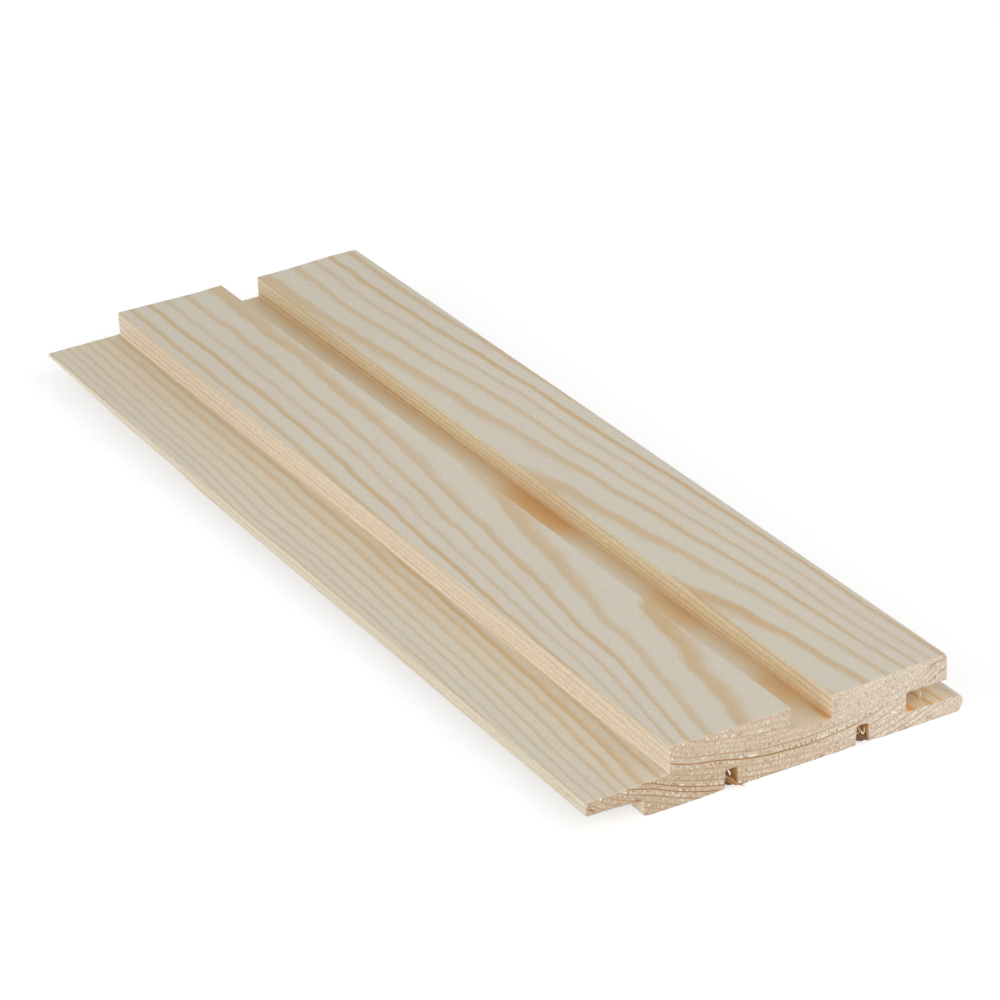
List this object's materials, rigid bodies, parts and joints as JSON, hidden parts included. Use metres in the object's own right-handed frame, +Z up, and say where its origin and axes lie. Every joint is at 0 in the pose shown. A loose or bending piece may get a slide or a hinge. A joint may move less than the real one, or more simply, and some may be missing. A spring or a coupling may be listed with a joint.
{
  "type": "tongue and groove board",
  "caption": "Softwood tongue and groove board, its face moulded into raised slats with a sunk groove between them, for evenly slatted wall or ceiling cladding.",
  "frame": {"origin": "middle of the board's length and overall width, on the plane of its back", "axes": "+X along the board, +Y across it from the tongue edge to the groove edge, +Z up from the back to the slats"},
  "size_m": [0.272, 0.096, 0.0145],
  "materials": {
    "softwood": "planed, unfinished"
  },
  "bodies": {
    "root": {"board": "softwood"}
  },
  "joints": []
}
